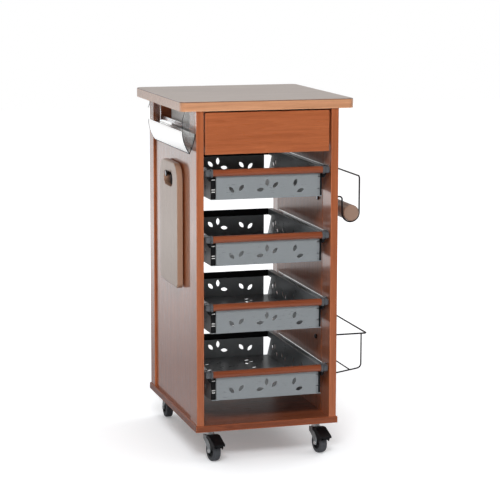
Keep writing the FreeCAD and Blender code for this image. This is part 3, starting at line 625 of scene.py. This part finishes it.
# Chopping board: a solid oiled board with rounded corners, its edges tinted darker than its faces as
# painted shade.
# It hangs by its hand hole on a steel peg, coloured dark as painted shade, that is screwed through a black
# plate into the left panel; the plate is painted shade for the hand hole.
def tint_by_facing(material, axis, on_face, off_face, colour):
    """Blend a second colour into wood: one share on faces that look along an axis, another on the rest."""
    tree = material.node_tree
    shader = tree.nodes["Principled BSDF"]
    side_grain = shader.inputs["Base Color"].links[0].from_socket
    facing = tree.nodes.new("ShaderNodeNewGeometry").outputs["True Normal"]
    along = place(tree, "ShaderNodeSeparateXYZ", {0: facing}).outputs[axis]
    share = ranged(tree, arithmetic(tree, "ABSOLUTE", along, 0.0), 0.6, 0.8, off_face, on_face)
    tree.links.new(mixed_colour(tree, share, side_grain, (*colour, 1.0)), shader.inputs["Base Color"])


board_light = (0.61, 0.450, 0.355)
board_dark = (0.49, 0.342, 0.258)
board_edge_painted_shade = (0.36, 0.200, 0.128)
lacquer_node("chopping_board", GRAIN_Z, board_light, board_dark, coat=0.15)
# Painted shade: the board's edges and the walls of its hand hole are blended toward a dark brown.
tint_by_facing(nodes["chopping_board"].data.materials[0], "X", 0.0, 0.85, board_edge_painted_shade)
# Painted shade: the plated steel peg and wire nuts are coloured near black, as shade for the peg in the
# hand hole and as a painted dark reflection on the nuts.
shade_darkened_steel = metal("shade_darkened_steel", (0.13, 0.13, 0.14), 0.10, 0.20)
dress(nodes["board_peg"], shade_darkened_steel)


hook_plate_thickness = 0.0022
hook_plate_half = 0.036
hook_plate_below = 0.026
hook_plate_above = 0.003


def hole_shade_plate(shape):
    """Black plate on the panel round the foot of the peg, seen through the hand hole: painted shade that
    darkens the hole.
    """
    peg_low, peg_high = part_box("board_peg")
    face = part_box("left_panel")[0].x
    middle = (peg_low.y + peg_high.y) / 2
    bottom = peg_low.z - hook_plate_below
    top = peg_high.z + hook_plate_above
    rounded_bar(shape, (face - hook_plate_thickness, middle - hook_plate_half, bottom),
                (face, middle + hook_plate_half, top), corner=0.0006)


new_piece("board_hook_plate", hole_shade_plate, black_plastic, "case", "black_plastic")


# Paper roll and its holder: a turned wooden roll, paler on its sawn ends, that lies loose in two cradles.
# The holder is one bent wire, painted dark, with its ends let into the right panel.
roll_light = (0.32, 0.190, 0.125)
roll_dark = (0.20, 0.110, 0.070)
sawn_end = (0.40, 0.265, 0.20)
lacquer_node("paper_roll", GRAIN_Y, roll_light, roll_dark, coat=0.05)
tint_by_facing(nodes["paper_roll"].data.materials[0], "Y", 0.85, 0.0, sawn_end)
dark_wire = metal("dark_wire", (0.014, 0.012, 0.013), 0.34, 0.48, stretch=(200.0, 200.0, 200.0),
                  metallic=0.0)
dress(nodes["roll_holder"], dark_wire)


# Bottle rack: a basket of welded wire in the same dark paint as the roll holder.
# Its loop and feet are let into the right panel and held by domed nuts inside.
dress(nodes["bottle_rack"], dark_wire)
# The domed nuts take the same near-black steel: a painted dark reflection.
dress(nodes["wire_nuts"], shade_darkened_steel)


# Castors: plated stems screwed under the base, swivel races, forks pressed from grey painted steel, steel
# axles, turned black hubs and grey rubber tyres. The two front ones have black brake pedals with a guard.
castor_grey = metal("castor_grey", (0.33, 0.35, 0.36), 0.28, 0.40, stretch=(250.0, 250.0, 250.0),
                    metallic=0.3)
grey_rubber = moulded("grey_rubber", (0.072, 0.075, 0.083), 0.5, 0.7, grain_size=1400.0)
hub_profile = ((0.0160, 0.0094), (0.0142, 0.0096), (0.0134, 0.0090), (0.0126, 0.0066),
               (0.0090, 0.0058), (0.0072, 0.0062), (0.0064, 0.0086), (0.0056, 0.0094), (0.0035, 0.0094))
boss_profile = ((0.0110, 0.0060), (0.0104, 0.0067), (0.0060, 0.0067), (0.0054, 0.0062))
race_profile = ((0.0100, 0.0022), (0.0092, 0.0031), (0.0062, 0.0034), (0.0053, 0.0030))
upright = Vector((0.0, 0.0, 1.0))
fork_trail = 0.020
fork_ear = 0.0058
fork_ear_height = 0.025
fork_outline = [(-0.0110, 0.0490), (-0.0110, 0.0595), (-0.0098, 0.0610), (0.0250, 0.0610), (0.0268, 0.0592),
                (0.0272, 0.0510), (0.0256, 0.0400)]
for step in range(9):
    bend = math.radians(15 - 210 * step / 8)
    fork_outline.append((fork_trail + fork_ear * math.cos(bend),
                         fork_ear_height + fork_ear * math.sin(bend)))
fork_outline += [(0.0110, 0.0320), (-0.0010, 0.0430)]
cheek_inner = 0.0102
cheek_outer = 0.0127
bridge_low = 0.0550
bridge_high = 0.0608
bridge_start = 0.0070
front_bridge_end = 0.0110
rear_bridge_end = 0.0262
boss_height = 0.0548
race_height = 0.0645
front_castor_turn = math.radians(10)
guard_outline = [(0.0090, 0.0560), (0.0110, 0.0625), (0.0255, 0.0636), (0.0560, 0.0468), (0.0552, 0.0412),
                 (0.0470, 0.0402), (0.0450, 0.0330), (0.0400, 0.0300), (0.0300, 0.0430), (0.0200, 0.0520)]
guard_ridge = [(0.0108, 0.0625), (0.0255, 0.0637), (0.0560, 0.0469), (0.0556, 0.0450), (0.0250, 0.0618),
               (0.0108, 0.0612)]
guard_inner = 0.0131
guard_outer = 0.0146


def turned(shape, centre, axle, profile, steps=48):
    """Ring turned about an axle from its profile of radius and half width, the same on either face."""
    spare = upright if abs(axle.z) < 0.5 else Vector((1.0, 0.0, 0.0))
    across = axle.cross(spare).normalized()
    up = across.cross(axle)
    outline = list(profile) + [(radius, -half) for radius, half in reversed(profile)]
    rows = []
    for n in range(steps):
        angle = 2 * math.pi * n / steps
        spoke = across * math.cos(angle) + up * math.sin(angle)
        rows.append([shape.verts.new(centre + spoke * radius + axle * along) for radius, along in outline])
    for n in range(steps):
        row, after = rows[n], rows[(n + 1) % steps]
        for k in range(len(outline)):
            m = (k + 1) % len(outline)
            shape.faces.new((row[k], row[m], after[m], after[k]))


def shrunk(outline, inset):
    """The outline moved inward by inset."""
    pairs = list(zip(outline, outline[1:] + outline[:1]))
    way = math.copysign(1.0, sum(a[0] * b[1] - b[0] * a[1] for a, b in pairs))
    moved = []
    for n, here in enumerate(outline):
        before = Vector(here) - Vector(outline[n - 1])
        after = Vector(outline[(n + 1) % len(outline)]) - Vector(here)
        along = (before.normalized() + after.normalized()).normalized()
        moved.append((here[0] - way * inset * along.y, here[1] + way * inset * along.x))
    return moved


def pressed_plate(shape, outline, spot, near, far, edge=0.0006):
    """Plate of an outline between two distances along the axle, its edges eased; spot places its points."""
    way = math.copysign(edge, far - near)
    inner = shrunk(outline, edge)
    stops = ((inner, near), (outline, near + way), (outline, far - way), (inner, far))
    skinned(shape, [[spot(u, v, w) for u, w in ring] for ring, v in stops])


def castor_places(corner):
    """The castor's axle direction, its wheel centre, and a function that places points of its side view."""
    front_one = corner.startswith("front")
    turn = front_castor_turn if front_one else 0.0
    ahead = Vector((math.sin(turn), -math.cos(turn), 0.0)) if front_one else Vector((0.0, 1.0, 0.0))
    axle = Vector((math.cos(turn), math.sin(turn), 0.0))
    low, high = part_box("castor_%s_tyre" % corner)
    centre = (low + high) / 2

    def spot(u, v, w):
        return Vector((centre.x, centre.y, w)) + ahead * (u - fork_trail) + axle * v

    return axle, centre, spot


def castor_fork(corner):
    """Maker of one fork: tapered cheeks beside the wheel, a swivel boss and a bridge over the wheel."""
    spot = castor_places(corner)[2]
    bridge_end = front_bridge_end if corner.startswith("front") else rear_bridge_end
    bridge = [(bridge_start, bridge_low), (bridge_start, bridge_high), (bridge_end, bridge_high),
              (bridge_end, bridge_low)]

    def maker(shape):
        for side in (-1, 1):
            pressed_plate(shape, fork_outline, spot, side * cheek_inner, side * cheek_outer)
        pressed_plate(shape, bridge, spot, -cheek_inner, cheek_inner)
        turned(shape, spot(0.0, 0.0, boss_height), upright, boss_profile)

    return maker


def pedal_guard(corner):
    """Maker of the pedal's shell: two side flanges outside the fork and a sloping tread between them."""
    spot = castor_places(corner)[2]

    def maker(shape):
        for side in (-1, 1):
            pressed_plate(shape, guard_outline, spot, side * guard_inner, side * guard_outer)
        pressed_plate(shape, guard_ridge, spot, -guard_inner, guard_inner, edge=0.0003)

    return maker


plated_steel = metal("plated_steel", (0.76, 0.77, 0.78), 0.14, 0.28, metallic=0.4)
dress(nodes["castor_stems"], plated_steel)
for corner in ("front_left", "front_right", "rear_left", "rear_right"):
    castor = "castor_" + corner
    axle, centre, spot = castor_places(corner)
    race_centre = spot(0.0, 0.0, race_height)
    new_piece(castor + "_pressed_fork", castor_fork(corner), castor_grey, castor, "castor_grey",
              castor + "_fork")
    new_piece(castor + "_swivel_race", lambda shape: turned(shape, race_centre, upright, race_profile),
              plated_steel, castor, "plated_steel")
    dress(nodes[castor + "_axle"], plated_steel)
    new_piece("wheel_%s_hub" % corner, lambda shape: turned(shape, centre, axle, hub_profile),
              black_plastic, "wheel_" + corner, "black_plastic", castor + "_hub")
    dress(nodes[castor + "_tyre"], grey_rubber)
    if corner.startswith("front"):
        dress(nodes[castor + "_pedal"], black_plastic)
        brake = "brake_" + corner
        new_piece(brake + "_guard", pedal_guard(corner), black_plastic, brake, "black_plastic")


# Floor and light: a pale floor with a painted shadow round the object, fading into a white surround, a high
# soft lamp at the left front, one at eye level, and one each at the right and the back. The room is darker
# in front, so that lacquer and steel keep their depth.
def pale_floor():
    """Plain floor that keeps the object's shadow from the lamps and shows white to the eye and in
    reflections; its glow is dimmed by ambient occlusion and near the object as painted shadow, and in
    reflections it is dark near the object, as painted shade, and dimmer toward the front.
    """
    material, tree, shader, spot = plain_material("pale_floor")
    shader.inputs["Base Color"].default_value = (0.82, 0.84, 0.87, 1.0)
    shader.inputs["Roughness"].default_value = 0.9
    shader.inputs["Specular IOR Level"].default_value = 0.1
    shader.inputs["Emission Color"].default_value = (1.0, 1.0, 1.0, 1.0)
    # Painted shadow: the glow the eye sees is dimmed where ambient occlusion finds the object close, and
    # within two metres of it.
    covered = place(tree, "ShaderNodeAmbientOcclusion", {"Distance": 0.36}, samples=8).outputs["AO"]
    painted_shadow_dimming = ranged(tree, covered, 0.0, 1.0, 0.20, 1.0)
    away = place(tree, "ShaderNodeVectorMath", {0: spot}, operation="LENGTH").outputs["Value"]
    backward = place(tree, "ShaderNodeSeparateXYZ", {0: spot}).outputs["Y"]
    behind = ranged(tree, backward, -0.9, 0.5, 0.04, 1.0)
    rays = tree.nodes.new("ShaderNodeLightPath").outputs
    # Painted shade: in reflections the floor glows only beyond about a metre from the object, and less
    # toward the front, where the room is darker.
    bright = arithmetic(tree, "MULTIPLY", ranged(tree, away, 0.9, 3.4, 0.0, 1.1), behind)
    mirrored = arithmetic(tree, "MULTIPLY", rays["Is Glossy Ray"], bright)
    seen = arithmetic(tree, "MAXIMUM", rays["Is Camera Ray"], rays["Is Transmission Ray"])
    glow_with_painted_shadow = arithmetic(tree, "MULTIPLY", painted_shadow_dimming, ranged(tree, away, 0.6, 2.0, 0.72, 1.0))
    direct = arithmetic(tree, "MULTIPLY", seen, glow_with_painted_shadow)
    tree.links.new(arithmetic(tree, "ADD", mirrored, direct), shader.inputs["Emission Strength"])
    return material


floor_mesh = bpy.data.meshes.new("floor")
reach = 9.0
floor_mesh.from_pydata([(-reach, -reach, 0), (reach, -reach, 0), (reach, reach, 0), (-reach, reach, 0)], [],
                       [(0, 1, 2, 3)])
floor = bpy.data.objects.new("floor", floor_mesh)
bpy.context.scene.collection.objects.link(floor)
floor_mesh.materials.append(pale_floor())

world = bpy.data.worlds.new("white_surround")
bpy.context.scene.world = world
world.use_nodes = True
sky = world.node_tree
surround = sky.nodes["Background"]
surround.inputs["Color"].default_value = (1.0, 1.0, 1.0, 1.0)
rays = sky.nodes.new("ShaderNodeLightPath").outputs
toward = sky.nodes.new("ShaderNodeTexCoord").outputs["Generated"]
heading = place(sky, "ShaderNodeSeparateXYZ", {0: toward}).outputs
fill = ranged(sky, heading["Z"], 0.0, 1.0, 0.20, 0.08)
behind = ranged(sky, heading["Y"], -0.9, 0.2, 0.14, 1.0)
mirror = arithmetic(sky, "MULTIPLY", behind, ranged(sky, heading["Z"], 0.10, 0.34, 0.78, 0.10))
seen = arithmetic(sky, "MAXIMUM", rays["Is Camera Ray"], rays["Is Transmission Ray"])
lit = ranged(sky, rays["Is Glossy Ray"], 0.0, 1.0, fill, mirror)
sky.links.new(ranged(sky, seen, 0.0, 1.0, lit, 1.0), surround.inputs["Strength"])


def soft_lamp(name, place_at, aim, width, height, watts, spread=180.0, in_mirrors=True):
    """Rectangular lamp, unseen by the camera, aimed at a point; it can be kept out of mirrored surfaces."""
    lamp = bpy.data.lights.new(name, "AREA")
    lamp.spread = math.radians(spread)
    lamp.shape = "RECTANGLE"
    lamp.size = width
    lamp.size_y = height
    lamp.energy = watts
    shown = bpy.data.objects.new(name, lamp)
    shown.location = place_at
    shown.rotation_euler = (Vector(aim) - Vector(place_at)).to_track_quat("-Z", "Y").to_euler()
    shown.visible_camera = False
    shown.visible_glossy = in_mirrors
    bpy.context.scene.collection.objects.link(shown)


soft_lamp("front_lamp", (-1.0, -2.65, 2.55), (-0.08, 0.0, 1.00), 1.0, 1.0, 14.7, spread=80.0,
          in_mirrors=False)
soft_lamp("eye_level_lamp", (-0.7, -3.6, 0.62), (0.0, 0.0, 0.5), 1.2, 0.9, 26.0, in_mirrors=False)
soft_lamp("side_lamp", (2.4, 0.9, 2.5), (0.0, 0.0, 0.5), 1.6, 1.6, 20.0)
soft_lamp("back_lamp", (-0.8, 3.2, 2.4), (0.0, 0.0, 0.5), 1.6, 1.6, 13.0)


# Camera: at the photograph's own angle, with a long lens a little above the worktop.
# It looks down on the trolley from the left front, with no shift of the lens.
camera_data = bpy.data.cameras.new("camera")
camera_data.sensor_width = 36.0
camera_data.lens = 132.90
camera = bpy.data.objects.new("camera", camera_data)
camera_place = Vector((-1.3226, -4.3728, 1.2434))
camera_turn = math.radians(-16.639)
camera_pitch = math.radians(9.567)
camera_roll = math.radians(0.127)
camera.matrix_world = (Matrix.Translation(camera_place) @ Matrix.Rotation(camera_turn, 4, "Z")
                       @ Matrix.Rotation(math.pi / 2 - camera_pitch, 4, "X")
                       @ Matrix.Rotation(camera_roll, 4, "Z"))
bpy.context.scene.collection.objects.link(camera)
bpy.context.scene.camera = camera
bpy.context.scene.view_settings.view_transform = "Standard"
